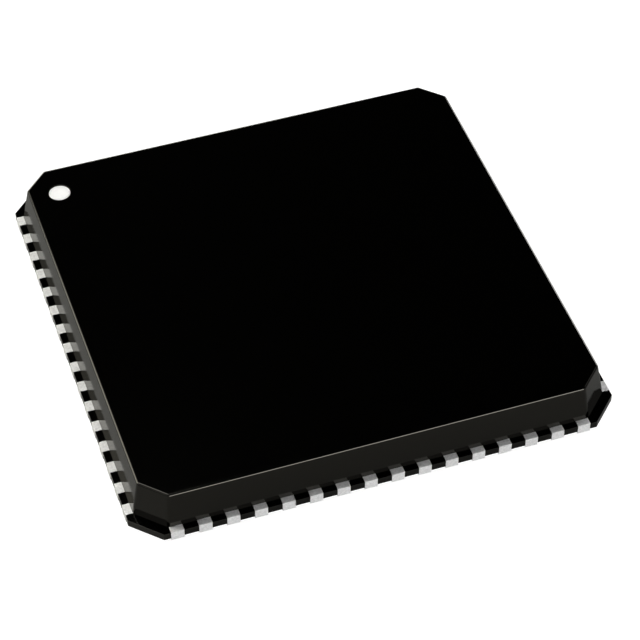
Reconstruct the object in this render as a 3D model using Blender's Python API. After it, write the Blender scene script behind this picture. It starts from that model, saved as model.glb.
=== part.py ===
"""A quad flat no-lead integrated circuit: 9 mm square, 64 leads at 0.5 mm pitch.

The package is built the way it is made. Sixty-four etched lead fingers and a
die paddle with its tie bars come from one sheet of lead frame. A silicon die
is glued to the paddle and wired to the leads, and black compound is moulded
around all of it, so that only the outer ends and undersides of the leads, the
underside of the paddle and a white dot beside lead 1 are left in sight.

Every number is in millimetres. The empty that carries the package scales it
to metres. X runs along the front row of leads, Y points to the back row, Z is
up, and the origin is the middle of the underside.
"""

import math

import bmesh
import bpy
from mathutils import Matrix, Vector

# Driving dimensions, in millimetres.

metres_per_millimetre = 0.001

body_size = 9.00            # across opposite lead ends
package_height = 0.88
stand_off = 0.05            # underside of the compound above the lead feet

leads_per_side = 16
lead_pitch = 0.50
lead_width = 0.24
lead_foot_length = 0.40
lead_foot_steps = 6         # in the round inner end of a foot
lead_length = 0.65          # foot and the half-etched finger behind it
frame_thickness = 0.20
half_etch = 0.10            # what is left of the sheet where it is half etched

skirt_size = 8.99           # compound between the leads
skirt_height = 0.195
skirt_corner_cut = 0.50
cap_base_size = 8.74        # drafted cap, where it meets the skirt
cap_top_size = 8.49
cap_base_corner_cut = 0.50
cap_edge_radius = 0.025
cap_edge_steps = 3

paddle_size = 7.10
paddle_corner_radius = 0.20
paddle_corner_steps = 6
paddle_pin_1_cut = 0.35
paddle_rim = 0.10           # half-etched rim that locks the paddle in
tie_bar_width = 0.14
tie_bar_reach = 5.70        # from the middle, along the diagonal

die_size = 4.20
die_thickness = 0.28
glue_size = 4.40
glue_thickness = 0.025

bond_pad_pitch = 0.24
bond_pad_inset = 0.09       # from the edge of the die
wire_diameter = 0.025
wire_ball_ratio = 2.4       # ball bond to wire
wire_ball_height = 0.019
wire_neck_height = 0.026    # where the ball has narrowed to the wire
wire_shoulder_height = 0.11 # where the wire stops rising straight up
wire_loop_height = 0.15
wire_apex_share = 0.10      # of the way from pad to stitch
wire_slope_share = 0.65     # where the long slope flattens out
wire_slope_drop = 0.56      # how much of its height it has lost there
wire_sink = 0.005           # how deep its ends are pressed in
wire_tilt = 0.3             # turns the four-sided section, in radians
stitch_position = 4.02      # from the middle, on top of the lead
stitch_gap = 0.002

mark_position = (-3.674, 3.575)
mark_diameter = 0.41
mark_thickness = 0.012
recess_diameter = 0.44
recess_depth = 0.030
disc_segments = 40

# Every lead, its wire and the die are one piece of bonded metal in the real
# package. Here every fifth lead stays joined to the die through its wire. The
# other leads are separate solids, and their wires stop just above them.
joined_lead_step = 5

flat_angle = math.radians(0.5)

# Sizes that follow from them.

half_body = body_size / 2
lead_count = 4 * leads_per_side
glue_top = frame_thickness + glue_thickness
die_top = glue_top + die_thickness
side_turn = math.radians(90)
wall_share = math.tan(math.radians(22.5))
cap_root = half_etch        # the cap starts inside the skirt
cap_lean = (cap_base_size - cap_top_size) / 2
cap_lean_per_height = cap_lean / (package_height - skirt_height)
cap_root_spread = cap_lean_per_height * (skirt_height - cap_root)
cap_root_size = cap_base_size + 2 * cap_root_spread
cap_root_corner_cut = cap_base_corner_cut + cap_root_spread * (1 - wall_share)


def clear_scene():
    """Remove every object and collection that the file starts with."""
    for item in list(bpy.data.objects):
        bpy.data.objects.remove(item, do_unlink=True)
    for group in list(bpy.data.collections):
        bpy.data.collections.remove(group)


def make_collection(name):
    group = bpy.data.collections.new(name)
    bpy.context.scene.collection.children.link(group)
    return group


def make_material(name, colour, roughness, metallic):
    material = bpy.data.materials.new(name)
    material.use_nodes = True
    shader = material.node_tree.nodes["Principled BSDF"]
    shader.inputs["Base Color"].default_value = (*colour, 1.0)
    shader.inputs["Roughness"].default_value = roughness
    shader.inputs["Metallic"].default_value = metallic
    return material


def make_object(name, mesh, collection, carrier, materials):
    """Put a mesh in a collection, under the carrier, with its materials."""
    item = bpy.data.objects.new(name, mesh)
    collection.objects.link(item)
    item.parent = carrier
    if not mesh.materials:
        for material in materials:
            mesh.materials.append(material)
    return item


def make_cutter(name, mesh, collection, carrier):
    """A shape that only cuts or joins others, and is never rendered."""
    item = make_object(name, mesh, collection, carrier, [])
    item.hide_render = True
    item.display_type = "WIRE"
    return item


def combine(target, operation, other):
    """Cut or join two solids with a live Boolean modifier."""
    change = target.modifiers.new(other.name, "BOOLEAN")
    change.operation = operation
    change.solver = "EXACT"
    change.object = other


def mesh_from(bm, name):
    mesh = bpy.data.meshes.new(name)
    bm.to_mesh(mesh)
    bm.free()
    return mesh


def evaluated_mesh(item, name):
    """The plain mesh of a curve or of an object with modifiers."""
    depsgraph = bpy.context.evaluated_depsgraph_get()
    mesh = bpy.data.meshes.new_from_object(item.evaluated_get(depsgraph))
    mesh.name = name
    return mesh


def weld(mesh, distance=0.0001):
    bm = bmesh.new()
    bm.from_mesh(mesh)
    bmesh.ops.remove_doubles(bm, verts=bm.verts, dist=distance)
    bmesh.ops.dissolve_limit(bm, angle_limit=flat_angle, verts=bm.verts, edges=bm.edges)
    bmesh.ops.recalc_face_normals(bm, faces=bm.faces)
    bm.to_mesh(mesh)
    bm.free()


def block(name, size_x, size_y, low, high):
    """A box centred on the Z axis between two heights."""
    bm = bmesh.new()
    bmesh.ops.create_cube(bm, size=1.0)
    bmesh.ops.scale(bm, vec=(size_x, size_y, high - low), verts=bm.verts)
    bmesh.ops.translate(bm, vec=(0, 0, (low + high) / 2), verts=bm.verts)
    return mesh_from(bm, name)


def disc(name, diameter, low, high, centre):
    bm = bmesh.new()
    bmesh.ops.create_cone(
        bm,
        cap_ends=True,
        segments=disc_segments,
        radius1=diameter / 2,
        radius2=diameter / 2,
        depth=high - low,
    )
    bmesh.ops.translate(bm, vec=(*centre, (low + high) / 2), verts=bm.verts)
    return mesh_from(bm, name)


def lean_in(verts, distance):
    """Move all eight walls of an octagon in by the same distance."""
    along_wall = distance * wall_share
    for vert in verts:
        x, y = abs(vert.co.x), abs(vert.co.y)
        move_x, move_y = (distance, along_wall) if x > y else (along_wall, distance)
        vert.co.x = math.copysign(x - move_x, vert.co.x)
        vert.co.y = math.copysign(y - move_y, vert.co.y)


def octagon_block(name, size, corner_cut, low, high, lean):
    """A square block with cut corners, whose walls all lean in by lean."""
    bm = bmesh.new()
    bmesh.ops.create_cube(bm, size=1.0)
    bmesh.ops.scale(bm, vec=(size, size, high - low), verts=bm.verts)
    bmesh.ops.translate(bm, vec=(0, 0, (low + high) / 2), verts=bm.verts)
    upright = []
    for edge in bm.edges:
        start, end = edge.verts
        if abs(start.co.z - end.co.z) > (high - low) / 2:
            upright.append(edge)
    bmesh.ops.bevel(
        bm,
        geom=upright,
        offset=corner_cut,
        offset_type="OFFSET",
        segments=1,
        affect="EDGES",
    )
    lean_in([vert for vert in bm.verts if vert.co.z > (low + high) / 2], lean)
    return mesh_from(bm, name)


def round_top_edge(mesh, height, radius, segments):
    """Give the rim of a flat top a small radius."""
    bm = bmesh.new()
    bm.from_mesh(mesh)
    rim = []
    for edge in bm.edges:
        if all(abs(vert.co.z - height) < 1e-5 for vert in edge.verts):
            rim.append(edge)
    bmesh.ops.bevel(
        bm,
        geom=rim,
        offset=radius,
        offset_type="OFFSET",
        segments=segments,
        profile=0.5,
        affect="EDGES",
    )
    bm.to_mesh(mesh)
    bm.free()


def sheet_piece(name, outline, low, high):
    """A flat outline cut from sheet, from a filled two-dimensional curve."""
    curve = bpy.data.curves.new(name, "CURVE")
    curve.dimensions = "2D"
    curve.fill_mode = "BOTH"
    curve.extrude = (high - low) / 2
    spline = curve.splines.new("POLY")
    spline.points.add(len(outline) - 1)
    for point, place in zip(spline.points, outline):
        point.co = (*place, 0.0, 1.0)
    spline.use_cyclic_u = True
    drawing = bpy.data.objects.new(name, curve)
    bpy.context.scene.collection.objects.link(drawing)
    mesh = evaluated_mesh(drawing, name)
    bpy.data.objects.remove(drawing)
    mesh.transform(Matrix.Translation((0, 0, (low + high) / 2)))
    weld(mesh)
    return mesh


def union_of(name, meshes):
    """One solid from meshes that overlap."""
    scene_objects = bpy.context.scene.collection.objects
    made = []
    for mesh in meshes:
        item = bpy.data.objects.new(name, mesh)
        scene_objects.link(item)
        made.append(item)
    for other in made[1:]:
        combine(made[0], "UNION", other)
    mesh = evaluated_mesh(made[0], name)
    for item in made:
        bpy.data.objects.remove(item)
    weld(mesh)
    return mesh


def placed_copies(name, placements):
    """One mesh that holds many copies, each mesh with its own matrix."""
    bm = bmesh.new()
    for mesh, matrix in placements:
        first = len(bm.verts)
        bm.from_mesh(mesh)
        bm.verts.ensure_lookup_table()
        bmesh.ops.transform(bm, matrix=matrix, verts=bm.verts[first:])
    return mesh_from(bm, name)


# The lead frame: fingers, paddle and tie bars.


def lead_place(number):
    """Turn and middle of a lead; 1 is at the back of the left side."""
    side, index = divmod(number - 1, leads_per_side)
    turn = (side - 1) * side_turn
    along = (index - (leads_per_side - 1) / 2) * lead_pitch
    return turn, along, index


def lead_mesh(name, slant):
    """A finger that points out along -Y, with a half-etched inner end.

    The foot under it has a round inner end. slant is -1 or 1 where the inner
    end is cut at 45 degrees on that side to clear a tie bar, and 0 elsewhere.
    """
    half = lead_width / 2
    outer = -half_body
    arc_centre = outer + lead_foot_length - half
    foot = [(-half, outer), (half, outer)]
    for step in range(lead_foot_steps + 1):
        angle = math.pi * step / lead_foot_steps
        foot.append((half * math.cos(angle), arc_centre + half * math.sin(angle)))
    tip = outer + lead_length
    finger = [
        (-half, outer),
        (half, outer),
        (half, tip - (lead_width if slant > 0 else 0)),
        (-half, tip - (lead_width if slant < 0 else 0)),
    ]
    etched = frame_thickness - half_etch
    lower = sheet_piece("foot", foot, 0.0, etched + half_etch / 2)
    upper = sheet_piece("finger", finger, etched, frame_thickness)
    return union_of(name, [lower, upper])


def lead_matrix(number):
    turn, along, _ = lead_place(number)
    return Matrix.Rotation(turn, 4, "Z") @ Matrix.Translation((along, 0, 0))


def paddle_outline(size, corner_radius, pin_1_cut):
    """A square with round corners, and a straight cut at lead 1's corner."""
    half = size / 2
    middle = half - corner_radius
    corner_sides = ((1, 1), (-1, 1), (-1, -1), (1, -1))
    outline = []
    for corner, (side_x, side_y) in enumerate(corner_sides):
        if (side_x, side_y) == (-1, 1):
            outline.append((-half + pin_1_cut, half))
            outline.append((-half, half - pin_1_cut))
            continue
        for step in range(paddle_corner_steps + 1):
            angle = side_turn * (corner + step / paddle_corner_steps)
            outline.append((
                side_x * middle + corner_radius * math.cos(angle),
                side_y * middle + corner_radius * math.sin(angle),
            ))
    return outline


def paddle_mesh(name):
    etched = frame_thickness - half_etch
    pad = paddle_outline(paddle_size, paddle_corner_radius, paddle_pin_1_cut)
    rim = paddle_outline(
        paddle_size + 2 * paddle_rim,
        paddle_corner_radius + paddle_rim,
        paddle_pin_1_cut + paddle_rim,
    )
    pieces = [
        sheet_piece("pad", pad, 0.0, etched + half_etch / 2),
        sheet_piece("rim", rim, etched, frame_thickness),
    ]
    for turn in (45, 135):
        bar = block("bar", 2 * tie_bar_reach, tie_bar_width, etched, frame_thickness)
        bar.transform(Matrix.Rotation(math.radians(turn), 4, "Z"))
        pieces.append(bar)
    return union_of(name, pieces)


# The bond wires: a ball bond on the die, a loop, and a stitch on the lead.


def wire_points(number):
    """Middle line of a lead's wire, and how thick it is at each point."""
    turn, along, index = lead_place(number)
    pad_along = (index - (leads_per_side - 1) / 2) * bond_pad_pitch
    pad = Vector((pad_along, -(die_size / 2 - bond_pad_inset), 0))
    stitch = Vector((along, -stitch_position, 0))
    apex = die_top + wire_loop_height
    end = frame_thickness - wire_sink
    slope = apex - (apex - end) * wire_slope_drop
    profile = [
        (0.0, die_top - wire_sink, wire_ball_ratio),
        (0.0, die_top + wire_ball_height, wire_ball_ratio),
        (0.0, die_top + wire_neck_height, 1.0),
        (0.0, die_top + wire_shoulder_height, 1.0),
        (wire_apex_share, apex, 1.0),
        (wire_slope_share, slope, 1.0),
        (1.0, end, 1.0),
    ]
    spin = Matrix.Rotation(turn, 3, "Z")
    points = []
    for share, height, thickness in profile:
        place = pad.lerp(stitch, share)
        place.z = height
        points.append((spin @ place, thickness))
    return points


def wires_mesh(name, numbers):
    """The wires of the given leads, as tubes from one curve object."""
    curve = bpy.data.curves.new(name, "CURVE")
    curve.dimensions = "3D"
    curve.bevel_depth = wire_diameter / 2
    curve.bevel_resolution = 0
    curve.use_fill_caps = True
    for number in numbers:
        points = wire_points(number)
        spline = curve.splines.new("POLY")
        spline.points.add(len(points) - 1)
        for point, (place, thickness) in zip(spline.points, points):
            point.co = (*place, 1.0)
            point.radius = thickness
            point.tilt = wire_tilt
    drawing = bpy.data.objects.new(name, curve)
    bpy.context.scene.collection.objects.link(drawing)
    mesh = evaluated_mesh(drawing, name)
    bpy.data.objects.remove(drawing)
    weld(mesh)
    return mesh


def flatten_below(mesh, height):
    """Cut closed shapes off at a height, so that each has a flat end."""
    bm = bmesh.new()
    bm.from_mesh(mesh)
    everything = bm.verts[:] + bm.edges[:] + bm.faces[:]
    bmesh.ops.bisect_plane(
        bm,
        geom=everything,
        dist=1e-6,
        plane_co=(0, 0, height),
        plane_no=(0, 0, 1),
        clear_inner=True,
    )
    rims = [edge for edge in bm.edges if edge.is_boundary]
    bmesh.ops.holes_fill(bm, edges=rims)
    bmesh.ops.recalc_face_normals(bm, faces=bm.faces)
    bm.to_mesh(mesh)
    bm.free()


def paint(mesh, slot):
    for face in mesh.polygons:
        face.material_index = slot


# The package.


def build():
    clear_scene()
    parts = make_collection("integrated_circuit")
    cutters = make_collection("cutters")
    carrier = bpy.data.objects.new("package", None)
    parts.objects.link(carrier)
    carrier.scale = (metres_per_millimetre,) * 3

    compound = make_material("black_compound", (0.010, 0.010, 0.009), 0.35, 0.0)
    tin = make_material("tin_plated_copper", (0.72, 0.72, 0.70), 0.32, 1.0)
    silicon = make_material("silicon", (0.16, 0.17, 0.20), 0.15, 0.4)
    gold = make_material("gold_wire", (0.90, 0.66, 0.28), 0.25, 1.0)
    glue = make_material("silver_filled_glue", (0.45, 0.45, 0.44), 0.60, 0.3)
    ink = make_material("white_ink", (0.90, 0.90, 0.89), 0.55, 0.0)

    numbers = range(1, lead_count + 1)
    joined = [number for number in numbers if number % joined_lead_step == 0]
    separate = [number for number in numbers if number % joined_lead_step]

    plain_lead = lead_mesh("lead", 0)
    first_lead = lead_mesh("first_lead", -1)
    last_lead = lead_mesh("last_lead", 1)
    lead_meshes = {0: first_lead, leads_per_side - 1: last_lead}

    def mesh_of(number):
        index = lead_place(number)[2]
        return lead_meshes.get(index, plain_lead)

    for number in separate:
        name = f"lead_{number:02d}"
        lead = make_object(name, mesh_of(number), parts, carrier, [tin])
        turn, along, _ = lead_place(number)
        lead.rotation_euler = (0, 0, turn)
        lead.location = (along * math.cos(turn), along * math.sin(turn), 0)

    make_object("die_paddle", paddle_mesh("die_paddle"), parts, carrier, [tin])
    make_object(
        "die_attach",
        block("die_attach", glue_size, glue_size, frame_thickness, glue_top),
        parts,
        carrier,
        [glue],
    )

    die_materials = [silicon, gold, tin]
    die = make_object(
        "wire_bonded_die",
        block("wire_bonded_die", die_size, die_size, glue_top, die_top),
        parts,
        carrier,
        die_materials,
    )
    joined_wires = wires_mesh("joined_wires", joined)
    loose_wires = wires_mesh("loose_wires", separate)
    flatten_below(loose_wires, frame_thickness + stitch_gap)
    joined_leads = placed_copies(
        "joined_leads",
        [(plain_lead, lead_matrix(number)) for number in joined],
    )
    for mesh, slot in ((joined_wires, 1), (loose_wires, 1), (joined_leads, 2)):
        mesh.materials.clear()
        for material in die_materials:
            mesh.materials.append(material)
        paint(mesh, slot)
        other = make_cutter(mesh.name, mesh, cutters, carrier)
        combine(die, "UNION", other)

    body = make_object(
        "mold_body",
        octagon_block(
            "mold_body",
            skirt_size,
            skirt_corner_cut,
            stand_off,
            skirt_height,
            0.0,
        ),
        parts,
        carrier,
        [compound],
    )
    cap = octagon_block(
        "cap",
        cap_root_size,
        cap_root_corner_cut,
        cap_root,
        package_height,
        cap_root_spread + cap_lean,
    )
    round_top_edge(cap, package_height, cap_edge_radius, cap_edge_steps)
    combine(body, "UNION", make_cutter("cap", cap, cutters, carrier))
    pockets = placed_copies(
        "lead_pockets",
        [(mesh_of(number), lead_matrix(number)) for number in numbers],
    )
    overlap = frame_thickness - half_etch / 2
    shapes = [
        pockets,
        paddle_mesh("paddle_pocket"),
        block("glue_pocket", glue_size, glue_size, overlap, glue_top),
        block("die_pocket", die_size, die_size, overlap, die_top),
        wires_mesh("wire_tunnels", numbers),
        disc(
            "mark_recess",
            recess_diameter,
            package_height - recess_depth,
            package_height + recess_depth,
            mark_position,
        ),
    ]
    for mesh in shapes:
        combine(body, "DIFFERENCE", make_cutter(mesh.name, mesh, cutters, carrier))

    mark_bottom = package_height - recess_depth
    make_object(
        "pin_1_mark",
        disc(
            "pin_1_mark",
            mark_diameter,
            mark_bottom,
            mark_bottom + mark_thickness,
            mark_position,
        ),
        parts,
        carrier,
        [ink],
    )


build()
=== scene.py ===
# %% [markdown]
# # A quad flat no-lead integrated circuit, dressed for its portrait
#
# The object is a square black chip, 9 mm wide and less than 1 mm tall, with
# sixteen flat metal leads along each side. The imported model already holds
# every piece at its real size. This lesson gives those pieces their finish:
# the rounded mould edges, the leads with their softened corners, the white
# dot, the bond wires inside, and the metal and filled plastic of them all.
#
# The imported model is loaded first, because every later cell takes its sizes
# from it.

# %% Load the imported model
import math

import bmesh
import bpy
from mathutils import Matrix, Vector


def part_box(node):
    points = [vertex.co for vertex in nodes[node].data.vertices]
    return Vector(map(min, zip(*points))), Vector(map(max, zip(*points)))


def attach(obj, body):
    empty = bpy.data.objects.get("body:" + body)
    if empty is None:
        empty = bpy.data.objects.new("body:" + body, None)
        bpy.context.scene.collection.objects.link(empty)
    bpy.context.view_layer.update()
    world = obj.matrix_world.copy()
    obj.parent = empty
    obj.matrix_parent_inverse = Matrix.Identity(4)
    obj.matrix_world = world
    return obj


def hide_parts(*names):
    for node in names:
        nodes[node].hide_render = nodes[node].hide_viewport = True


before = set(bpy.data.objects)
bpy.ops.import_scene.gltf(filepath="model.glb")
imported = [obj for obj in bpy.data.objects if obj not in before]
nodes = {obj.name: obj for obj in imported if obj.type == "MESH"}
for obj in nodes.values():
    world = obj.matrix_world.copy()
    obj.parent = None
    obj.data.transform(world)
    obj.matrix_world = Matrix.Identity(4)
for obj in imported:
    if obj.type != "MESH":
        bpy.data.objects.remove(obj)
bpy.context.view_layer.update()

print(len(nodes), "nodes in the packed model")

# %% [markdown]
# ## Millimetres first, metres last
#
# Blender's modelling tools merge and bevel with small fixed tolerances that
# suit things the size of a chair. A chip is a hundred times smaller, and its
# finest roundings are a few thousandths of a millimetre. So each piece is
# drawn in millimetres, where its edges are far longer than those tolerances,
# and its finished mesh is scaled to metres in one step.

# %% Units and small helpers
MM = 0.001
# points of one piece that are closer than this, in millimetres, are merged
same_point = 1e-5
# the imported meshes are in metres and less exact, so theirs is wider
same_packed_point = 1e-4


def box_mm(node):
    """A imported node's lowest and highest corners, in millimetres."""
    low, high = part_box(node)
    return low / MM, high / MM


def mesh_from(bm, name):
    mesh = bpy.data.meshes.new(name)
    bm.to_mesh(mesh)
    bm.free()
    return mesh


def link(data, name):
    """A mesh, camera or light as an object in the scene."""
    item = bpy.data.objects.new(name, data)
    bpy.context.scene.collection.objects.link(item)
    return item


def way_to(azimuth, elevation):
    """The way from the chip to a place. Azimuth 0 is behind it, 90 to its right."""
    around = math.radians(azimuth)
    up = math.radians(elevation)
    return Vector((
        math.sin(around) * math.cos(up),
        math.cos(around) * math.cos(up),
        math.sin(up),
    ))


def baked_mesh(item, name):
    """The plain mesh that an object's modifiers or curve give."""
    bpy.context.view_layer.update()
    depsgraph = bpy.context.evaluated_depsgraph_get()
    mesh = bpy.data.meshes.new_from_object(item.evaluated_get(depsgraph))
    mesh.name = name
    return mesh


# %% [markdown]
# ## Flat stays flat, roundings stay soft
#
# Moulded and stamped parts are made of flat faces joined by small roundings,
# and their shine gives away any face whose shading bends. Smooth shading bends
# it wherever a Boolean left thin slivers. Blender's Weighted Normal modifier
# helps where a flat area is one face, but not where it is cut into many. So
# the shading is worked out here plane by plane: a corner takes the direction
# of the largest plane near it, and only roundings blend from face to face.

# %% Shading, and handing over a finished piece
# faces share a plane where its direction and height agree to one part in this
plane_steps = 1000
# a plane this many times larger than any other sets a corner's direction alone
main_plane_share = 8


def shade_mesh(mesh, smooth_angle):
    """Keep flat areas flat, and blend the shading only across small roundings.

    A corner looks at the faces round its vertex that turn from its own face by
    less than the smooth angle. Where one of them lies in a plane much larger
    than the rest, the corner takes that plane's normal, and otherwise it takes
    their average.
    """
    limit = math.cos(math.radians(smooth_angle))
    directions = [face.normal.copy() for face in mesh.polygons]
    areas = [face.area for face in mesh.polygons]
    planes = []
    plane_area = {}
    for face in mesh.polygons:
        measures = (*face.normal, face.normal.dot(face.center))
        plane = tuple(round(plane_steps * measure) for measure in measures)
        plane_area[plane] = plane_area.get(plane, 0.0) + face.area
        planes.append(plane)
    faces_at = [[] for vert in mesh.vertices]
    for face in mesh.polygons:
        for vert in face.vertices:
            faces_at[vert].append(face.index)
    corner_normals = [None] * len(mesh.loops)
    for face in mesh.polygons:
        own = directions[face.index]
        for corner, vert in zip(face.loop_indices, face.vertices):
            near = [i for i in faces_at[vert] if directions[i].dot(own) > limit]
            near = near or [face.index]
            largest = max(near, key=lambda i: plane_area[planes[i]])
            rest = [plane_area[planes[i]] for i in near if planes[i] != planes[largest]]
            if rest and plane_area[planes[largest]] < main_plane_share * max(rest):
                mean = sum((directions[i] * areas[i] for i in near), Vector())
                corner_normals[corner] = mean.normalized()
            else:
                corner_normals[corner] = directions[largest]
    mesh.shade_smooth()
    mesh.normals_split_custom_set(corner_normals)


def finish_piece(mesh, name, material, smooth_angle=35):
    """Shade a finished mesh, scale it to metres and make it one piece."""
    if not mesh.materials:
        mesh.materials.append(material)
    shade_mesh(mesh, smooth_angle)
    mesh.name = name
    mesh.transform(Matrix.Scale(MM, 4))
    piece = link(mesh, name)
    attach(piece, "root")
    print(name, "has", len(mesh.polygons), "faces")
    return piece


# %% [markdown]
# ## The sizes, read from the frame
#
# A lead in the middle of the front row gives the width, length and thickness
# of every lead, and the lead two places on gives the pitch. The moulded body
# gives the height of the package and the gap under the compound.

# %% Sizes
sides = 4
leads_per_side = 16
body_low, body_high = box_mm("mold_body")
lead_low, lead_high = box_mm("lead_24")
second_next_low = box_mm("lead_26")[0]
glue_top = box_mm("die_attach")[1].z
mark_low, mark_high = box_mm("pin_1_mark")

lead_outer = -lead_low.y
lead_tip = -lead_high.y
lead_width = lead_high.x - lead_low.x
lead_thickness = lead_high.z
lead_pitch = (second_next_low.x - lead_low.x) / 2
package_height = body_high.z
stand_off = body_low.z
skirt_half = body_high.x
mark_centre = (mark_low + mark_high) / 2
print(f"pitch {lead_pitch:.3f} mm, lead {lead_width:.3f} mm wide")
print(f"package {2 * lead_outer:.2f} mm wide, {package_height:.2f} mm tall")

# %% [markdown]
# ## The camera
#
# The picture was taken from the front left, looking down at about 46 degrees.
# The long lens keeps the far edge nearly as long as the near one. The numbers
# come from matching the corners of the body and the ends of the leads, so the
# rendered edges fall where the photographed ones do.

# %% Camera
camera_azimuth = 198.718
camera_elevation = 46.366
camera_distance = 46.0 * MM
aim = Vector((0.2407, -0.2657, -0.1354)) * MM
focal_length_in_pixels = 2473.0
frame_width_in_pixels = 640
sensor_width = 36

away = way_to(camera_azimuth, camera_elevation)
camera_data = bpy.data.cameras.new("camera")
camera_data.sensor_width = sensor_width
camera_data.lens = sensor_width * focal_length_in_pixels / frame_width_in_pixels
camera_data.clip_start = 1 * MM
camera_data.clip_end = 20
camera = link(camera_data, "camera")
camera.location = aim + away * camera_distance
camera.rotation_euler = (-away).to_track_quat("-Z", "Y").to_euler()
bpy.context.scene.camera = camera
bpy.context.scene.view_settings.view_transform = "Standard"
print(f"lens {camera_data.lens:.1f} mm, {camera_distance / MM:.1f} mm away")

# %% [markdown]
# ## Small helpers for node materials
#
# Every finish below is a Principled shader whose colour, and mostly its
# roughness or bump too, comes from a pattern on Object coordinates. Those are
# in metres, so a Mapping node multiplies them by a thousand: a noise scale of
# 20 then means twenty lumps in a millimetre.

# %% Material helpers
# nearly all of a noise lies between these, so ramps and spans run over them
noise_low = 0.3
noise_high = 0.7


class Finish:
    """A Principled material and the nodes that feed it."""

    def __init__(self, name, roughness=0.5, metallic=0.0, ior=1.5):
        self.material = bpy.data.materials.new(name)
        self.material.use_nodes = True
        self.tree = self.material.node_tree
        self.shader = self.tree.nodes["Principled BSDF"]
        self.shader.inputs["Roughness"].default_value = roughness
        self.shader.inputs["Metallic"].default_value = metallic
        self.shader.inputs["IOR"].default_value = ior
        place = self.tree.nodes.new("ShaderNodeTexCoord")
        scale = self.tree.nodes.new("ShaderNodeMapping")
        scale.inputs["Scale"].default_value = (1 / MM,) * 3
        self.wire(place.outputs["Object"], scale.inputs["Vector"])
        self.millimetres = scale.outputs["Vector"]

    def wire(self, output, socket):
        self.tree.links.new(output, socket)

    def noise(self, per_mm, detail):
        """Noise with so many lumps in a millimetre, from 0 to 1."""
        node = self.tree.nodes.new("ShaderNodeTexNoise")
        node.inputs["Scale"].default_value = per_mm
        node.inputs["Detail"].default_value = detail
        self.wire(self.millimetres, node.inputs["Vector"])
        return node.outputs["Fac"]

    def cells(self, per_mm):
        node = self.tree.nodes.new("ShaderNodeTexVoronoi")
        node.inputs["Scale"].default_value = per_mm
        self.wire(self.millimetres, node.inputs["Vector"])
        return node.outputs["Color"]

    def attribute(self, name):
        node = self.tree.nodes.new("ShaderNodeAttribute")
        node.attribute_name = name
        return node.outputs["Fac"]

    def ramp(self, value, low, high, start=noise_low, end=noise_high):
        """Turn a value into a colour that runs from low to high."""
        node = self.tree.nodes.new("ShaderNodeValToRGB")
        first, last = node.color_ramp.elements
        first.position, last.position = start, end
        first.color = (*low, 1.0)
        last.color = (*high, 1.0)
        self.wire(value, node.inputs["Fac"])
        return node.outputs["Color"]

    def span(self, value, low, high):
        """Turn a noise into a number that runs from low to high."""
        node = self.tree.nodes.new("ShaderNodeMapRange")
        node.inputs["From Min"].default_value = noise_low
        node.inputs["From Max"].default_value = noise_high
        node.inputs["To Min"].default_value = low
        node.inputs["To Max"].default_value = high
        self.wire(value, node.inputs["Value"])
        return node.outputs["Result"]

    def multiply(self, first, second):
        """One colour times the other."""
        node = self.tree.nodes.new("ShaderNodeMix")
        node.data_type = "RGBA"
        node.blend_type = "MULTIPLY"
        node.inputs["Factor"].default_value = 1.0
        colours = [socket for socket in node.inputs if socket.type == "RGBA"]
        self.wire(first, colours[0])
        self.wire(second, colours[1])
        return [socket for socket in node.outputs if socket.type == "RGBA"][0]

    def bump(self, height, depth_mm, strength, under=None):
        """Raise the surface by up to depth_mm where height is 1."""
        node = self.tree.nodes.new("ShaderNodeBump")
        node.inputs["Distance"].default_value = depth_mm * MM
        node.inputs["Strength"].default_value = strength
        self.wire(height, node.inputs["Height"])
        if under:
            self.wire(under, node.inputs["Normal"])
        return node.outputs["Normal"]

    def feed(self, socket, source):
        self.wire(source, self.shader.inputs[socket])


# %% [markdown]
# ## Moulding compound
#
# The body is epoxy filled with fine glass beads and carbon black. It leaves a
# polished steel mould, so it is deep black with a clear gloss, and its walls
# mirror the leads at their foot. A black this deep shows nothing but its
# shine, so the detail goes there: two sizes of noise bend it, one for the
# faint waves of the mould face and one for the grain of the filler. The shine
# is a little warm, as the walls are in the photograph. That tint is the same
# everywhere, so it is set on the shader's own socket.

# %% Moulding compound
compound = Finish("black_compound", ior=1.46)
filler = compound.noise(55, detail=3)
cloud = compound.noise(1.3, detail=4)
compound.feed(
    "Base Color",
    compound.ramp(filler, (0.0001, 0.0001, 0.0001), (0.0005, 0.0005, 0.0004)),
)
compound.feed("Roughness", compound.span(cloud, 0.100, 0.108))
compound.shader.inputs["Specular Tint"].default_value = (1.0, 0.96, 0.84, 1.0)
grain = compound.bump(filler, 0.0006, strength=0.5)
compound.feed("Normal", compound.bump(cloud, 0.0015, strength=0.08, under=grain))
print("moulding compound ready")

# %% [markdown]
# ## Tin plating
#
# The lead frame is copper, plated with matte tin so that it takes solder. The
# plating is a mat of tiny crystals that scatter light nearly as paper does:
# light grey, soft in its shine, and a shade different from one lead to the
# next. A fully metallic shader would mirror the dark room, so most of it is
# plain scatter and a tenth is metal. Fine noise gives the crystals, coarser
# noise gives patches, and the shade of each lead comes from an attribute that
# the tree of leads stores on it.

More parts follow.
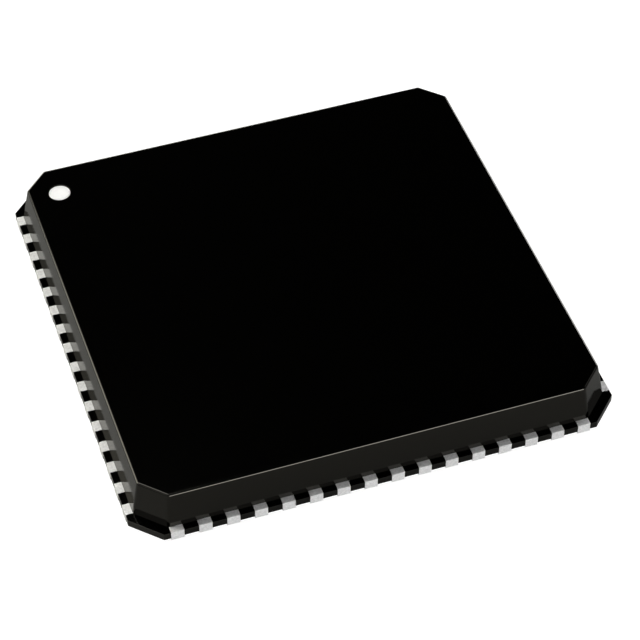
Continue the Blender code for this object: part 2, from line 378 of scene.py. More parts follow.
# %% Tin plating
tin = Finish("tin_plating", metallic=0.1)
crystals = tin.noise(24, detail=3)
patches = tin.noise(9, detail=2)
tin_grain = tin.ramp(crystals, (0.77, 0.77, 0.77), (0.99, 0.99, 0.99))
tin_patches = tin.ramp(patches, (0.95, 0.95, 0.95), (1.0, 1.0, 1.0))
tin_colour = tin.multiply(tin_grain, tin_patches)
own_shade = tin.attribute("plating_shade")
lead_shade = tin.ramp(
    own_shade, (0.975, 0.975, 0.975), (1.0, 1.0, 1.0), start=0.0, end=1.0
)
tin.feed("Base Color", tin.multiply(tin_colour, lead_shade))
tin.feed("Roughness", tin.span(patches, 0.32, 0.40))
tin.feed("Normal", tin.bump(crystals, 0.0012, strength=0.6))
print("tin plating ready")

# %% [markdown]
# ## The hidden materials and the ink
#
# The dot is white ink, flat and slightly uneven. Inside the package, out of
# sight in the photograph, are silver-filled glue, polished silicon, aluminium
# bond pads and gold wire. Each has one pattern, at the scale that the real one
# has: flakes in the glue, circuit blocks on the silicon, scuffs on the pads
# and drawing marks on the wire.

# %% Ink, glue, silicon, aluminium and gold
ink = Finish("marking_ink", roughness=0.55)
ink_cloud = ink.noise(14, detail=3)
ink.feed("Base Color", ink.ramp(ink_cloud, (0.97, 0.98, 1.0), (0.99, 0.995, 1.0)))
ink.feed("Normal", ink.bump(ink_cloud, 0.0008, strength=0.5))

glue = Finish("silver_filled_glue", roughness=0.6, metallic=0.3)
flakes = glue.noise(70, detail=2)
glue.feed("Base Color", glue.ramp(flakes, (0.34, 0.34, 0.33), (0.58, 0.58, 0.56)))
glue.feed("Normal", glue.bump(flakes, 0.0020, strength=0.6))

silicon = Finish("silicon", roughness=0.16, metallic=0.4)
blocks = silicon.cells(6)
silicon.feed("Base Color", silicon.ramp(blocks, (0.12, 0.13, 0.17), (0.24, 0.22, 0.25)))

aluminium = Finish("aluminium_pad", metallic=1.0)
scuffs = aluminium.noise(120, detail=2)
aluminium.feed("Base Color", aluminium.ramp(scuffs, (0.78, 0.78, 0.79), (0.90, 0.90, 0.91)))
aluminium.feed("Roughness", aluminium.span(scuffs, 0.25, 0.40))

gold = Finish("gold_wire", metallic=1.0)
drawn = gold.noise(90, detail=2)
gold.feed("Base Color", gold.ramp(drawn, (0.84, 0.58, 0.22), (0.95, 0.72, 0.33)))
gold.feed("Roughness", gold.span(drawn, 0.18, 0.30))
print("five small finishes ready")

# %% [markdown]
# ## The moulded body
#
# The compound is one moulding with two parts: a thin skirt that fills the
# gaps between the leads, and a cap whose walls lean in by about ten degrees
# so that it leaves the mould. All four corners are cut at 45 degrees. A cube
# scaled at the top would lean its corner cuts by another angle, so each part
# starts as a cube whose upright edges are bevelled to make the octagon, and
# the top of every wall is then moved in by the same distance, as a mould has
# the same draft all round. A small bevel rounds the edges, because the bright
# line along the rim of the cap is that rounding catching the light.

# %% Octagon blocks
cap_base_half = 4.37
cap_top_half = 4.245
corner_cut = 0.50
skirt_drop = 0.005
skirt_top = lead_thickness - skirt_drop
cap_radius = 0.038
cap_radius_steps = 4
skirt_radius = 0.003
skirt_radius_steps = 2
# how far an octagon's corner moves along a wall that moves in by one
wall_share = math.tan(math.radians(22.5))


def round_edges(bm, edges, radius, steps):
    bmesh.ops.bevel(
        bm, geom=edges, offset=radius, segments=steps, profile=0.5, affect="EDGES"
    )


def octagon_block(half, cut, low, high, lean, radius, steps):
    """A cut-cornered block whose walls all lean in, with rounded edges."""
    bm = bmesh.new()
    bmesh.ops.create_cube(bm, size=1.0)
    bmesh.ops.scale(bm, vec=(2 * half, 2 * half, high - low), verts=bm.verts)
    upright = [e for e in bm.edges if e.verts[0].co.z * e.verts[1].co.z < 0]
    bmesh.ops.translate(bm, vec=(0, 0, (low + high) / 2), verts=bm.verts)
    bmesh.ops.bevel(bm, geom=upright, offset=cut, segments=1, affect="EDGES")
    for vert in bm.verts:
        if vert.co.z > (low + high) / 2:
            x, y = abs(vert.co.x), abs(vert.co.y)
            moves = (lean, lean * wall_share) if x > y else (lean * wall_share, lean)
            vert.co.x = math.copysign(x - moves[0], vert.co.x)
            vert.co.y = math.copysign(y - moves[1], vert.co.y)
    at_top = high - same_point
    rounded = [e for e in bm.edges if max(v.co.z for v in e.verts) > at_top]
    round_edges(bm, rounded, radius, steps)
    return mesh_from(bm, "octagon_block")


lean = cap_base_half - cap_top_half
lean_per_mm = lean / (package_height - skirt_top)
cap_root = lead_thickness / 2
spread = lean_per_mm * (skirt_top - cap_root)
cap_mesh = octagon_block(
    cap_base_half + spread,
    corner_cut + spread * (1 - wall_share),
    cap_root,
    package_height,
    lean + spread,
    cap_radius,
    cap_radius_steps,
)
skirt_mesh = octagon_block(
    skirt_half, corner_cut, stand_off, skirt_top, 0.0, skirt_radius, skirt_radius_steps
)
print("walls lean", round(math.degrees(math.atan(lean_per_mm)), 1), "degrees")

# %% [markdown]
# ## One lead
#
# A lead is a strip of the etched sheet. Its foot has the full thickness and a
# round inner end, and behind the foot the sheet is half etched from below, so
# that the compound grips it. The inner end of the first and last lead of a
# side is slanted, to clear the tie bar in the corner. Two prisms drawn from
# outlines, one for the foot and one for the finger, are joined by a Boolean,
# and a small bevel gives the soft edge that etching and plating leave.

# %% One lead
foot_length = 0.40
half_etch = lead_thickness / 2
# a part of full thickness reaches into the half-etched part that it joins
foot_top = 1.5 * half_etch
lead_edge_radius = 0.012
soft_edge_steps = 2
# faces that turn by less are one flat face, and edges that turn by more are sharp
flat_angle = math.radians(0.5)
sharp_angle = math.radians(50)


def prism(outline, low, high):
    """A flat outline given thickness."""
    bm = bmesh.new()
    corners = [bm.verts.new((x, y, low)) for x, y in outline]
    base = bm.faces.new(corners)
    raised = bmesh.ops.extrude_face_region(bm, geom=[base])
    top = [item for item in raised["geom"] if isinstance(item, bmesh.types.BMVert)]
    bmesh.ops.translate(bm, vec=(0, 0, high - low), verts=top)
    bmesh.ops.recalc_face_normals(bm, faces=bm.faces)
    return mesh_from(bm, "prism")


def joined(meshes, name, operation="UNION"):
    """Join closed meshes into one solid, or cut the later ones away."""
    items = [link(mesh, name) for mesh in meshes]
    for other in items[1:]:
        step = items[0].modifiers.new(name, "BOOLEAN")
        step.operation = operation
        step.solver = "EXACT"
        step.object = other
    mesh = baked_mesh(items[0], name)
    for item in items:
        bpy.data.objects.remove(item)
    return mesh


def lead_solid(slant):
    """A lead along -Y. slant cuts the inner end back to clear a tie bar."""
    half = lead_width / 2
    arc_centre = -lead_outer + foot_length - half
    arc_steps = 16
    foot = [(-half, -lead_outer), (half, -lead_outer)]
    for step in range(arc_steps + 1):
        angle = math.pi * step / arc_steps
        foot.append((half * math.cos(angle), arc_centre + half * math.sin(angle)))
    cut_right = lead_width if slant > 0 else 0
    cut_left = lead_width if slant < 0 else 0
    finger = [
        (-half, -lead_outer),
        (half, -lead_outer),
        (half, -lead_tip - cut_right),
        (-half, -lead_tip - cut_left),
    ]
    lower = prism(foot, 0.0, foot_top)
    upper = prism(finger, half_etch, lead_thickness)
    return joined([lower, upper], "lead")


def soft_edged(mesh, radius):
    """Clean up flat faces and round the sharp edges."""
    bm = bmesh.new()
    bm.from_mesh(mesh)
    bmesh.ops.remove_doubles(bm, verts=bm.verts, dist=same_point)
    bmesh.ops.dissolve_limit(
        bm, angle_limit=flat_angle, verts=bm.verts, edges=bm.edges
    )
    sharp = [e for e in bm.edges if e.calc_face_angle(0) > sharp_angle]
    round_edges(bm, sharp, radius, soft_edge_steps)
    return mesh_from(bm, mesh.name)


# the plain lead, and the first and the last of a side
sharp_leads = [lead_solid(slant) for slant in (0, -1, 1)]
soft_leads = [soft_edged(mesh, lead_edge_radius) for mesh in sharp_leads]
print("one lead has", len(soft_leads[0].polygons), "faces")

# %% [markdown]
# ## A kit for Geometry Nodes trees
#
# What repeats on a chip follows a rule, and a Geometry Nodes tree can state
# that rule once. Written out by hand, each node and each of its sockets takes a
# line of code, which hides the rule. This small class makes a node and fills
# its sockets in one call. It also gives the tree a named input for each of its
# sizes and patterns, ends it with Realize Instances and Set Material, and makes
# its result a plain mesh.

# %% A small kit for building trees


class Tree:
    """A Geometry Nodes tree with named inputs: sizes, and objects to copy."""

    def __init__(self, name, sizes, patterns=()):
        self.group = bpy.data.node_groups.new(name, "GeometryNodeTree")
        face = self.group.interface
        self.sockets = {}
        for label, value in sizes.items():
            kind = "NodeSocketInt" if isinstance(value, int) else "NodeSocketFloat"
            socket = face.new_socket(label, in_out="INPUT", socket_type=kind)
            socket.default_value = value
            self.sockets[label] = socket.identifier
        for label in patterns:
            socket = face.new_socket(label, in_out="INPUT", socket_type="NodeSocketObject")
            self.sockets[label] = socket.identifier
        face.new_socket("Geometry", in_out="OUTPUT", socket_type="NodeSocketGeometry")
        self.given = self.node("NodeGroupInput")
        self.result = self.node("NodeGroupOutput")

    def put(self, socket, value):
        """Wire a socket, or set it where a plain value is given."""
        if isinstance(value, bpy.types.NodeSocket):
            self.group.links.new(value, socket)
        else:
            socket.default_value = value

    def node(self, kind, fill=None, **settings):
        """Make a node, choose its settings and fill its sockets."""
        made = self.group.nodes.new(kind)
        for key, value in settings.items():
            setattr(made, key, value)
        for label, value in (fill or {}).items():
            self.put(made.inputs[label], value)
        return made

    def math(self, operation, first, second=0.0):
        fill = {0: first, 1: second}
        return self.node("ShaderNodeMath", fill, operation=operation).outputs[0]

    def vector(self, x=0.0, y=0.0, z=0.0):
        return self.node("ShaderNodeCombineXYZ", {0: x, 1: y, 2: z}).outputs[0]

    def equal(self, value, other):
        fill = {0: value, 1: other, "Epsilon": 0.01}
        settings = {"data_type": "FLOAT", "operation": "EQUAL"}
        return self.node("FunctionNodeCompare", fill, **settings).outputs[0]

    def turned(self, vector, angle):
        """Turn a vector about Z."""
        fill = {"Vector": vector, "Angle": angle}
        made = self.node("ShaderNodeVectorRotate", fill, rotation_type="Z_AXIS")
        return made.outputs[0]

    def places(self, count, position):
        """One point for each number up to count, at the given position."""
        line = self.node("GeometryNodeMeshLine", {"Count": count}, mode="OFFSET")
        fill = {"Geometry": line.outputs["Mesh"], "Position": position}
        return self.node("GeometryNodeSetPosition", fill).outputs["Geometry"]

    def copies(self, fill):
        return self.node("GeometryNodeInstanceOnPoints", fill).outputs["Instances"]

    def finish(self, geometry, material):
        """Realize the instances, give them their material and end the tree."""
        real = self.node("GeometryNodeRealizeInstances", {"Geometry": geometry})
        fill = {"Geometry": real.outputs["Geometry"], "Material": material}
        coloured = self.node("GeometryNodeSetMaterial", fill)
        self.put(self.result.inputs["Geometry"], coloured.outputs["Geometry"])

    def grow(self, name, values):
        """Run the tree on an empty object and return the plain mesh."""
        holder = link(bpy.data.meshes.new(name), name)
        step = holder.modifiers.new(name, "NODES")
        step.node_group = self.group
        for label, value in values.items():
            step[self.sockets[label]] = value
        mesh = baked_mesh(holder, name)
        bpy.data.objects.remove(holder)
        return mesh


# %% [markdown]
# ## Sixty-four leads, by Geometry Nodes
#
# The leads repeat with a simple rule: sixteen to a side at one pitch, each
# side turned a quarter from the last. The tree makes one point for every
# lead, slides it along its side and turns it about the middle of the package.
# Then it puts a lead on it: the slanted kinds on the first and last point of
# a side, and the plain kind on the rest. A random shade with a fixed seed is
# stored on each lead for the plating. An Array modifier could make one side,
# but not the turned sides or the shade.

# %% The tree of leads
lead_sizes = {
    "Leads per side": leads_per_side,
    "Pitch": lead_pitch,
    "Seed": 7,
}
lead_kinds = ("Lead", "First lead", "Last lead")
lead_tree = Tree("leads_round_the_package", lead_sizes, lead_kinds)


def side_layout(tree):
    """Number along its side, slide and quarter turn of each lead's point."""
    per_side = tree.given.outputs["Leads per side"]
    index = tree.node("GeometryNodeInputIndex").outputs[0]
    along = tree.math("MODULO", index, per_side)
    side = tree.math("FLOOR", tree.math("DIVIDE", index, per_side))
    middle = tree.math("DIVIDE", tree.math("SUBTRACT", per_side, 1.0), 2.0)
    steps = tree.math("SUBTRACT", along, middle)
    turn = tree.math("MULTIPLY", tree.math("SUBTRACT", side, 1.0), math.radians(90))
    return along, steps, turn


given = lead_tree.given.outputs
number, steps, turn = side_layout(lead_tree)
slide = lead_tree.math("MULTIPLY", steps, given["Pitch"])
spot = lead_tree.turned(lead_tree.vector(slide), turn)
count = lead_tree.math("MULTIPLY", given["Leads per side"], sides)
spots = lead_tree.places(count, spot)
last_number = lead_tree.math("SUBTRACT", given["Leads per side"], 1.0)
is_first = lead_tree.equal(number, 0.0)
is_last = lead_tree.equal(number, last_number)
neither = lead_tree.node(
    "FunctionNodeBooleanMath", {0: is_first, 1: is_last}, operation="NOR"
)

gathered = lead_tree.node("GeometryNodeJoinGeometry")
for label, chosen in zip(lead_kinds, (neither.outputs[0], is_first, is_last)):
    source = lead_tree.node("GeometryNodeObjectInfo", {"Object": given[label]})
    copies = lead_tree.copies({
        "Points": spots,
        "Selection": chosen,
        "Instance": source.outputs["Geometry"],
        "Rotation": lead_tree.vector(z=turn),
    })
    lead_tree.put(gathered.inputs["Geometry"], copies)

chance = lead_tree.node(
    "FunctionNodeRandomValue", {"Seed": given["Seed"]}, data_type="FLOAT"
)
random_number = [s for s in chance.outputs if s.type == "VALUE"][0]
attribute = {
    "Name": "plating_shade",
    "Geometry": gathered.outputs["Geometry"],
    "Value": random_number,
}
shaded = lead_tree.node(
    "GeometryNodeStoreNamedAttribute", attribute, data_type="FLOAT", domain="INSTANCE"
)
lead_tree.finish(shaded.outputs["Geometry"], tin.material)
print("the tree of leads has", len(lead_tree.group.nodes), "nodes")

# %% [markdown]
# ## Growing the leads twice
#
# The tree runs twice. The leads that show have soft edges. The pockets that
# hold them in the compound are cut with sharp leads of the same size, so the
# compound meets each flat side of the metal, and a fine groove is left along
# each soft edge.

# %% Grow the leads


def grow_leads(meshes, name):
    """All sixty-four leads, from the mesh of each kind."""
    patterns = [link(mesh, "pattern") for mesh in meshes]
    mesh = lead_tree.grow(name, {**lead_sizes, **dict(zip(lead_kinds, patterns))})
    for pattern in patterns:
        bpy.data.objects.remove(pattern)
    return mesh


leads_mesh = grow_leads(soft_leads, "leads")
pocket_mesh = grow_leads(sharp_leads, "lead_pockets")
leads = finish_piece(leads_mesh, "leads", tin.material, smooth_angle=40)
lead_nodes = sorted(name for name in nodes if name.startswith("lead_"))
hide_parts(*lead_nodes)
print("they stand for", len(lead_nodes), "packed nodes")

# %% [markdown]
# ## Cutting the body
#
# The compound flows round the lead frame, so the body is cut with the sharp
# forms of the leads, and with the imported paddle, glue, die and wires. A shallow
# round recess for the white dot is sunk into the top near the first lead. An
# exact Boolean does all the cuts, because many of these faces touch and the
# fast one can't tell which side of a shared face to keep. It leaves a few
# faces of no area, which are dissolved.

# %% The body, cut
recess_radius = 0.22
recess_floor = mark_low.z
recess_overshoot = 0.1
round_segments = 96


def disc(radius, low, high, centre):
    bm = bmesh.new()
    bmesh.ops.create_cone(
        bm,
        cap_ends=True,
        segments=round_segments,
        radius1=radius,
        radius2=radius,
        depth=high - low,
    )
    place = (centre.x, centre.y, (low + high) / 2)
    bmesh.ops.translate(bm, vec=place, verts=bm.verts)
    return mesh_from(bm, "disc")


def merged_copy(node):
    """A CAD node's mesh in millimetres with its loose triangles merged."""
    bm = bmesh.new()
    bm.from_mesh(nodes[node].data)
    bmesh.ops.scale(bm, vec=(1 / MM,) * 3, verts=bm.verts)
    bmesh.ops.remove_doubles(bm, verts=bm.verts, dist=same_packed_point)
    return mesh_from(bm, node)


body_parts = joined([cap_mesh, skirt_mesh], "compound")
recess_top = package_height + recess_overshoot
recess = disc(recess_radius, recess_floor, recess_top, mark_centre)
inner = [merged_copy(node) for node in ("die_paddle", "die_attach", "wire_bonded_die")]
cutters = [pocket_mesh, *inner, recess]
body_mesh = joined([body_parts, *cutters], "body", operation="DIFFERENCE")
body_mesh.materials.clear()
bm = bmesh.new()
bm.from_mesh(body_mesh)
raw_faces = len(bm.faces)
bmesh.ops.dissolve_degenerate(bm, dist=same_point, edges=bm.edges)
print(raw_faces - len(bm.faces), "thin faces dissolved")
bm.to_mesh(body_mesh)
bm.free()
body = finish_piece(body_mesh, "moulded_body", compound.material, smooth_angle=35)
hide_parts("mold_body")

# %% [markdown]
# ## The white dot
#
# The dot is a drop of ink in the recess, and it marks the corner of lead 1. A
# flat disc would end in a hard edge, and ink ends in a round one. So the dot
# is turned: a profile from the middle out to a soft rim is spun about its
# axis with a Screw modifier.

# %% The dot
ink_radius = (mark_high.x - mark_low.x) / 2
ink_thickness = mark_high.z - mark_low.z
rim_steps = 6

bm = bmesh.new()
profile = [(0.0, ink_thickness)]
for step in range(rim_steps + 1):
    angle = math.radians(90) * (1 - step / rim_steps)
    x = ink_radius - ink_thickness + ink_thickness * math.cos(angle)
    profile.append((x, ink_thickness * math.sin(angle)))
profile.append((0.0, 0.0))
points = [bm.verts.new((x, 0.0, z)) for x, z in profile]
for first, second in zip(points, points[1:]):
    bm.edges.new((first, second))
dot_outline = link(mesh_from(bm, "dot_outline"), "dot_outline")
spin = dot_outline.modifiers.new("spin", "SCREW")
spin.steps = round_segments
spin.render_steps = round_segments
spin.use_merge_vertices = True
spin.merge_threshold = same_point
dot_mesh = baked_mesh(dot_outline, "dot")
bpy.data.objects.remove(dot_outline)
bm = bmesh.new()
bm.from_mesh(dot_mesh)
bmesh.ops.remove_doubles(bm, verts=bm.verts, dist=same_point)
bmesh.ops.recalc_face_normals(bm, faces=bm.faces)
bmesh.ops.translate(bm, vec=(mark_centre.x, mark_centre.y, mark_low.z), verts=bm.verts)
dot = finish_piece(mesh_from(bm, "dot"), "white_dot", ink.material)
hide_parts("pin_1_mark")

# %% [markdown]
# ## The silicon die
#
# The die is a square of polished silicon, sawn from a wafer. It sits on the
# paddle in its bed of glue, inside the compound, where the photograph doesn't
# show it. It is a prism with bevelled edges, and the circuit blocks on its
# face are a pattern in its material, because they have no height to model.

# %% The die
die_half = 2.10
die_thickness = 0.28
die_edge_radius = 0.004
die_top = glue_top + die_thickness

square = [(-die_half, -die_half), (die_half, -die_half)]
square += [(die_half, die_half), (-die_half, die_half)]
die_mesh = soft_edged(prism(square, glue_top, die_top), die_edge_radius)
die = finish_piece(die_mesh, "silicon_die", silicon.material)
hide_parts("wire_bonded_die")
print(f"die top at {die_top:.3f} mm")

# %% [markdown]
# ## Bond pads, by Geometry Nodes
#
# Every lead has its own bond pad at the edge of the die: a thin square of
# aluminium that a wire is welded to. The pads follow the same rule as the
# leads, with a smaller pitch and a row of their own, so their tree starts
# with the same layout nodes.

# %% The tree of bond pads
pad_pitch = 0.24
pad_inset = 0.09
pad_row = die_half - pad_inset
pad_thickness = 0.002

pad_sizes = {
    "Leads per side": leads_per_side,
    "Pad pitch": pad_pitch,
    "Pad row": pad_row,
    "Pad size": 0.09,
    "Height": die_top,
}
pad_tree = Tree("bond_pads_round_the_die", pad_sizes)
given = pad_tree.given.outputs
steps, turn = side_layout(pad_tree)[1:]
slide = pad_tree.math("MULTIPLY", steps, given["Pad pitch"])
row = pad_tree.math("MULTIPLY", given["Pad row"], -1.0)
spot = pad_tree.turned(pad_tree.vector(slide, row, given["Height"]), turn)
count = pad_tree.math("MULTIPLY", given["Leads per side"], sides)
form = pad_tree.vector(given["Pad size"], given["Pad size"], pad_thickness)
copies = pad_tree.copies({
    "Points": pad_tree.places(count, spot),
    "Instance": pad_tree.node("GeometryNodeMeshCube", {"Size": form}).outputs["Mesh"],
    "Rotation": pad_tree.vector(z=turn),
})
pad_tree.finish(copies, aluminium.material)

pads_mesh = pad_tree.grow("bond_pads", pad_sizes)
pads = finish_piece(pads_mesh, "bond_pads", aluminium.material)
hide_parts("wire_bonded_die")

# %% [markdown]
# ## Bond wires, by Geometry Nodes
#
# A gold wire joins each bond pad to its lead. The pads sit closer together
# than the leads, so the wires fan out. The tree works the fan out from the
# two pitches: where a wire starts, how far it reaches, and the angle that it
# leaves at. The wire is one Bezier segment that rises straight up from its
# ball, arches over the edge of the die and comes down nearly flat on the
# lead. Each copy is stretched to its own reach before it gets its thickness,
# so that all the wires stay equally thick.

# %% The tree of bond wires
wire_radius = 0.0125
wire_steps = 24
wire_sides = 10
# the curve's two handles: their heights in loop heights, and how far out the
# second one stands, as a share of the reach
start_handle_height = 1.7
end_handle_height = 1.1
end_handle_reach = 0.30
ball_radius = 0.030
ball_height = 0.018
ball_segments = 20
ball_rings = 10
ball_squash = (1.0, 1.0, 0.4)
stitch_squash = (1.2, 0.8, 0.2)
wire_start = die_top + ball_height
# the wire is pressed down at its end, so its middle is less than a radius up
end_lift = 0.6 * wire_radius
wire_end = lead_thickness + end_lift

wire_sizes = {
    "Leads per side": leads_per_side,
    "Lead pitch": lead_pitch,
    "Pad pitch": pad_pitch,
    "Pad row": pad_row,
    "Stitch row": 4.02,
    "Wire radius": wire_radius,
    "Loop height": 0.15,
}
wire_tree = Tree("bond_wires_from_die_to_leads", wire_sizes)
given = wire_tree.given.outputs
steps, turn = side_layout(wire_tree)[1:]
pad_slide = wire_tree.math("MULTIPLY", steps, given["Pad pitch"])
lead_slide = wire_tree.math("MULTIPLY", steps, given["Lead pitch"])
across = wire_tree.math("SUBTRACT", lead_slide, pad_slide)
outward = wire_tree.math("SUBTRACT", given["Pad row"], given["Stitch row"])
fan = wire_tree.math("ARCTAN2", outward, across)
squares = wire_tree.math(
    "ADD",
    wire_tree.math("MULTIPLY", across, across),
    wire_tree.math("MULTIPLY", outward, outward),
)
reach = wire_tree.math("SQRT", squares)
heading = wire_tree.math("ADD", turn, fan)
pad_line = wire_tree.math("MULTIPLY", given["Pad row"], -1.0)
stitch_line = wire_tree.math("MULTIPLY", given["Stitch row"], -1.0)
pad_spot = wire_tree.turned(wire_tree.vector(pad_slide, pad_line), turn)
stitch_spot = wire_tree.turned(
    wire_tree.vector(lead_slide, stitch_line, lead_thickness), turn
)
count = wire_tree.math("MULTIPLY", given["Leads per side"], sides)

steep = wire_tree.math("MULTIPLY", given["Loop height"], start_handle_height)
arch = wire_tree.math("MULTIPLY", given["Loop height"], end_handle_height)
loop = wire_tree.node("GeometryNodeCurvePrimitiveBezierSegment", {
    "Resolution": wire_steps,
    "Start": (0.0, 0.0, wire_start),
    "Start Handle": wire_tree.vector(z=wire_tree.math("ADD", steep, die_top)),
    "End Handle": wire_tree.vector(end_handle_reach, z=wire_tree.math("ADD", arch, die_top)),
    "End": (1.0, 0.0, wire_end),
})

laid = wire_tree.copies({
    "Points": wire_tree.places(count, pad_spot),
    "Instance": loop.outputs["Curve"],
    "Rotation": wire_tree.vector(z=heading),
    "Scale": wire_tree.vector(reach, 1.0, 1.0),
})
real = wire_tree.node("GeometryNodeRealizeInstances", {"Geometry": laid})
section = wire_tree.node("GeometryNodeCurvePrimitiveCircle", {
    "Resolution": wire_sides,
    "Radius": given["Wire radius"],
})
drawn_wire = wire_tree.node("GeometryNodeCurveToMesh", {
    "Curve": real.outputs["Geometry"],
    "Profile Curve": section.outputs["Curve"],
    "Fill Caps": True,
})

ball = wire_tree.node("GeometryNodeMeshUVSphere", {
    "Segments": ball_segments,
    "Rings": ball_rings,
    "Radius": ball_radius,
})
lifted = wire_tree.node("GeometryNodeTransform", {
    "Geometry": ball.outputs["Mesh"],
    "Translation": (0.0, 0.0, die_top + ball_height / 2),
    "Scale": ball_squash,
})
balls = wire_tree.copies({
    "Points": wire_tree.places(count, pad_spot),
    "Instance": lifted.outputs["Geometry"],
})

pressed = wire_tree.node("GeometryNodeTransform", {
    "Geometry": ball.outputs["Mesh"],
    "Scale": stitch_squash,
})
stitches = wire_tree.copies({
    "Points": wire_tree.places(count, stitch_spot),
    "Instance": pressed.outputs["Geometry"],
    "Rotation": wire_tree.vector(z=heading),
})

together = wire_tree.node("GeometryNodeJoinGeometry")
for part in (stitches, balls, drawn_wire.outputs["Mesh"]):
    wire_tree.put(together.inputs["Geometry"], part)
wire_tree.finish(together.outputs["Geometry"], gold.material)
print("the tree of wires has", len(wire_tree.group.nodes), "nodes")

# %% [markdown]
# ## Growing the wires
#
# The tree runs once and gives all the wires, balls and stitches as one mesh.
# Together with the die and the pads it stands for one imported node, in which the
# die, its wires and every fifth lead are one bonded assembly. Those leads are
# already in the piece of leads.

# %% Grow the wires
wires_mesh = wire_tree.grow("bond_wires", wire_sizes)
wires = finish_piece(wires_mesh, "bond_wires", gold.material, smooth_angle=60)
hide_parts("wire_bonded_die")
print("highest wire", round(max(v.co.z for v in wires.data.vertices) / MM, 3), "mm")

# %% [markdown]
# ## The die paddle
#
# The paddle is the middle of the lead frame. Its bare underside is the heat
# pad, which is soldered to the board, so it is the main thing to see when the
# chip is turned over. The corner by lead 1 is cut, to mark it from below. A
# half-etched rim and four tie bars hold it in the compound. It is made as the
# leads are: outlines given thickness, joined by a Boolean and softened.

# %% The paddle
paddle_half = 3.55
paddle_corner_radius = 0.20
pin_1_cut = 0.35
paddle_rim = 0.10
tie_bar_reach = 5.70
tie_bar_width = 0.14


def paddle_outline(half, corner_radius, cut):
    """A square with round corners, and a straight cut at lead 1's corner."""
    corner_steps = 10
    middle = half - corner_radius
    outline = []
    for quarter, (side_x, side_y) in enumerate(((1, 1), (-1, 1), (-1, -1), (1, -1))):
        if (side_x, side_y) == (-1, 1):
            outline += [(-half + cut, half), (-half, half - cut)]
            continue
        for step in range(corner_steps + 1):
            angle = math.radians(90) * (quarter + step / corner_steps)
            x = side_x * middle + corner_radius * math.cos(angle)
            y = side_y * middle + corner_radius * math.sin(angle)
            outline.append((x, y))
    return outline


def tie_bar(turn):
    half = tie_bar_width / 2
    bar = [(-tie_bar_reach, -half), (tie_bar_reach, -half)]
    bar += [(tie_bar_reach, half), (-tie_bar_reach, half)]
    mesh = prism(bar, half_etch, lead_thickness)
    mesh.transform(Matrix.Rotation(math.radians(turn), 4, "Z"))
    return mesh


pad_part = prism(
    paddle_outline(paddle_half, paddle_corner_radius, pin_1_cut), 0.0, foot_top
)
rim_part = prism(
    paddle_outline(
        paddle_half + paddle_rim, paddle_corner_radius + paddle_rim, pin_1_cut + paddle_rim
    ),
    half_etch,
    lead_thickness,
)
paddle_solid = joined([pad_part, rim_part, tie_bar(45), tie_bar(135)], "paddle")
paddle = finish_piece(
    soft_edged(paddle_solid, lead_edge_radius), "heat_paddle", tin.material, smooth_angle=40
)
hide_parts("die_paddle")

# %% [markdown]
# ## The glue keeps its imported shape
#
# The glue under the die is a thin flat layer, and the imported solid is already
# that. It only needs its finish, so its material is changed and its mesh stays
# as it is.

# %% The glue's finish
glue_mesh = nodes["die_attach"].data
glue_mesh.materials.clear()
glue_mesh.materials.append(glue.material)
print("die_attach has", glue.material.name)

# %% [markdown]
# ## The floor
#
# The chip lies on a plain pale sheet. The sheet is matte and takes the chip's
# soft shadow. A glow of its own, for camera rays alone, takes the open part
# of it to white, as in the photograph, without lighting the chip any more. A
# weaker glow for mirror and glass rays lets the glossy walls see a pale sheet
# too. A white sheet would throw so much light back that the walls turned grey.

# %% Floor
floor_half = 1.5
floor_colour = (0.29, 0.29, 0.28, 1)
floor_camera_glow = 0.93
floor_mirror_glow = 0.08
# in metres, so that the sheet and the underside of the chip share no plane
floor_gap = 1e-6


def math_node(tree, operation, second=0.0):
    node = tree.nodes.new("ShaderNodeMath")
    node.operation = operation
    node.inputs[1].default_value = second
    return node


bm = bmesh.new()
bmesh.ops.create_grid(bm, x_segments=1, y_segments=1, size=floor_half)
bmesh.ops.translate(bm, vec=(0, 0, -floor_gap), verts=bm.verts)
floor = link(mesh_from(bm, "floor"), "floor")
sheet = bpy.data.materials.new("white_sheet")
sheet.use_nodes = True
tree = sheet.node_tree
tree.nodes.clear()
paths = tree.nodes.new("ShaderNodeLightPath")
seen = math_node(tree, "MULTIPLY", floor_camera_glow)
mirrored = math_node(tree, "MAXIMUM")
weak = math_node(tree, "MULTIPLY", floor_mirror_glow)
total = math_node(tree, "ADD")
glow = tree.nodes.new("ShaderNodeEmission")
matte = tree.nodes.new("ShaderNodeBsdfDiffuse")
matte.inputs["Color"].default_value = floor_colour
both = tree.nodes.new("ShaderNodeAddShader")
out = tree.nodes.new("ShaderNodeOutputMaterial")
for source, target in (
    (paths.outputs["Is Camera Ray"], seen.inputs[0]),
    (paths.outputs["Is Glossy Ray"], mirrored.inputs[0]),
    (paths.outputs["Is Transmission Ray"], mirrored.inputs[1]),
    (mirrored.outputs[0], weak.inputs[0]),
    (seen.outputs[0], total.inputs[0]),
    (weak.outputs[0], total.inputs[1]),
    (total.outputs[0], glow.inputs["Strength"]),
    (matte.outputs[0], both.inputs[0]),
    (glow.outputs[0], both.inputs[1]),
    (both.outputs[0], out.inputs["Surface"]),
):
    tree.links.new(source, target)
floor.data.materials.append(sheet)
print("floor", 2 * floor_half, "m wide")

# %% [markdown]
# ## The world
#
# The room is dark overhead, which is why the flat top of the chip reads as
# pure black. Near the horizon a faint glow fades in, so that the walls and the
# lead ends are never quite without light. The camera itself sees white
# everywhere, through Light Path's Is Camera Ray.

# %% World
glow_top = 0.40
glow_bottom = 0.15
horizon_glow = 0.1

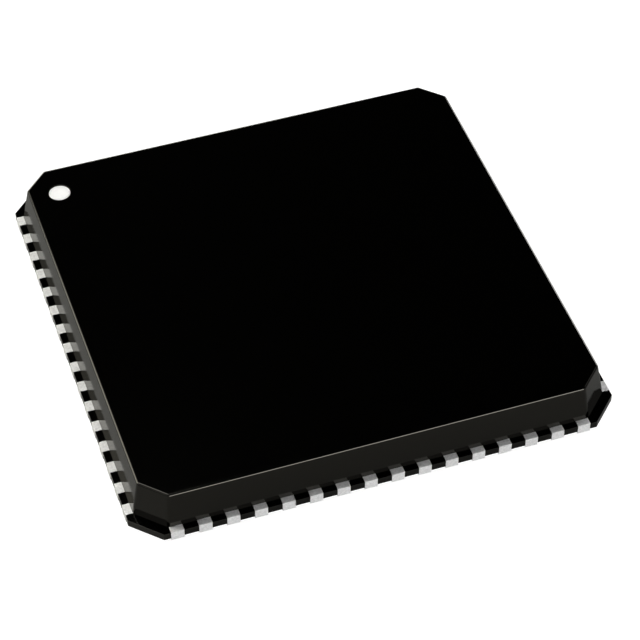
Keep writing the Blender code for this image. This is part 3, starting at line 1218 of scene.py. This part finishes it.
world = bpy.data.worlds.new("world")
bpy.context.scene.world = world
world.use_nodes = True
tree = world.node_tree
tree.nodes.clear()
paths = tree.nodes.new("ShaderNodeLightPath")
direction = tree.nodes.new("ShaderNodeTexCoord")
parts = tree.nodes.new("ShaderNodeSeparateXYZ")
fade = tree.nodes.new("ShaderNodeMapRange")
fade.inputs["From Min"].default_value = glow_bottom
fade.inputs["From Max"].default_value = glow_top
fade.inputs["To Min"].default_value = horizon_glow
fade.inputs["To Max"].default_value = 0.0
camera_white = math_node(tree, "MAXIMUM")
sky = tree.nodes.new("ShaderNodeBackground")
out = tree.nodes.new("ShaderNodeOutputWorld")
for source, target in (
    (direction.outputs["Generated"], parts.inputs[0]),
    (parts.outputs["Z"], fade.inputs["Value"]),
    (fade.outputs["Result"], camera_white.inputs[0]),
    (paths.outputs["Is Camera Ray"], camera_white.inputs[1]),
    (camera_white.outputs[0], sky.inputs["Strength"]),
    (sky.outputs[0], out.inputs["Surface"]),
):
    tree.links.new(source, target)
print("horizon glow", horizon_glow)

# %% [markdown]
# ## The lamps
#
# A chip is lit as jewellery is, with softboxes close round it. A glossy black
# part shows only what it mirrors, so each lamp stands where one kind of face
# can see it, and none stands where the flat top would mirror it to the camera.
# Low strips light the sheet and the lead ends. The key boxes at the left and
# back light the lead tops and the dot. The small dim boxes light the ledges
# under the cut corners. The strengths are radiances, fitted to the
# photograph's tones from renders with one lamp each.

# %% Lamps
lamp_distance = 120 * MM
neutral = (1.0, 1.0, 1.0)
warm = (1.0, 0.985, 0.90)


def softbox(name, azimuth, elevation, width_mm, height_mm, radiance, tint):
    """A lamp that faces the chip."""
    data = bpy.data.lights.new(name, "AREA")
    data.shape = "RECTANGLE"
    data.size = width_mm * MM
    data.size_y = height_mm * MM
    data.energy = radiance * math.pi * data.size * data.size_y
    data.color = tint
    lamp = link(data, name)
    where = way_to(azimuth, elevation)
    lamp.location = where * lamp_distance
    lamp.rotation_euler = where.to_track_quat("Z", "Y").to_euler()
    return lamp


# azimuth and elevation in degrees, width and height in mm, radiance, tint
lamps = [
    softbox("front_strip", 172, 13, 70, 45, 9.8, neutral),
    softbox("front_box", 166, 28, 40, 26, 1.3, neutral),
    softbox("key_box", 305, 34, 70, 60, 1.7, warm),
    softbox("high_key_box", 305, 47, 50, 45, 4.4, warm),
    softbox("left_back_strip", 300, 14, 70, 45, 4.3, warm),
    softbox("left_front_box", 249, 33, 32, 30, 1.6, neutral),
    softbox("back_strip", 350, 13, 110, 40, 8.2, warm),
    softbox("back_box", 326, 38, 50, 45, 1.6, warm),
    softbox("overhead_box", 345, 68, 50, 40, 4.4, neutral),
    softbox("right_back_strip", 60, 13, 70, 40, 7.2, neutral),
    softbox("right_box", 80, 38, 34, 30, 0.7, neutral),
]
print(len(lamps), "softboxes")
